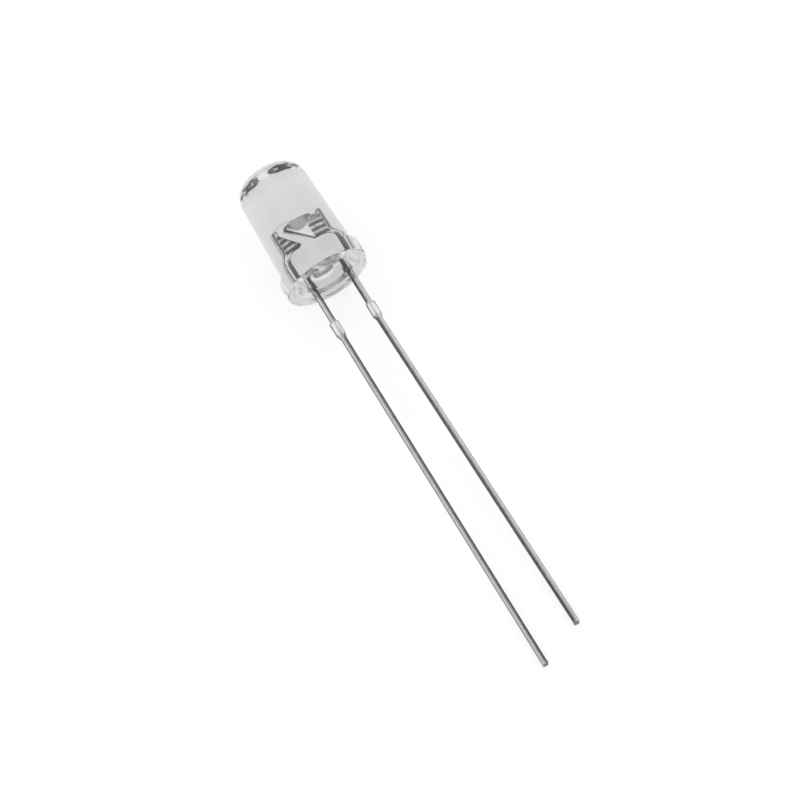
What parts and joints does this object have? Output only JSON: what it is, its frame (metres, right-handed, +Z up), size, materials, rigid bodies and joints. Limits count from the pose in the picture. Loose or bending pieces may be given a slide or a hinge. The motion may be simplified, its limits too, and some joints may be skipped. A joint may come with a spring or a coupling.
{
  "type": "through-hole LED",
  "caption": "Clear flat-top round LED lamp on two square leads, cast around a stamped lead frame with a reflector cup; emits light from a circuit board.",
  "frame": {"origin": "centre of the lamp's box at the surface it lies on", "axes": "+X from the crown towards the lead tips, level with the surface; +Z up; the cathode is on +Y and the anode on -Y"},
  "size_m": [0.0379, 0.0055, 0.0057],
  "materials": {
    "clear_epoxy": "polished",
    "plated_steel": "satin",
    "semiconductor": "gloss",
    "silver_adhesive": "matte",
    "gold": "polished"
  },
  "bodies": {
    "root": {"clear_body": "clear_epoxy", "cathode_lead": "plated_steel", "anode_lead": "plated_steel", "die": "semiconductor", "die_attach": "silver_adhesive", "bond_wire": "gold"}
  },
  "joints": []
}
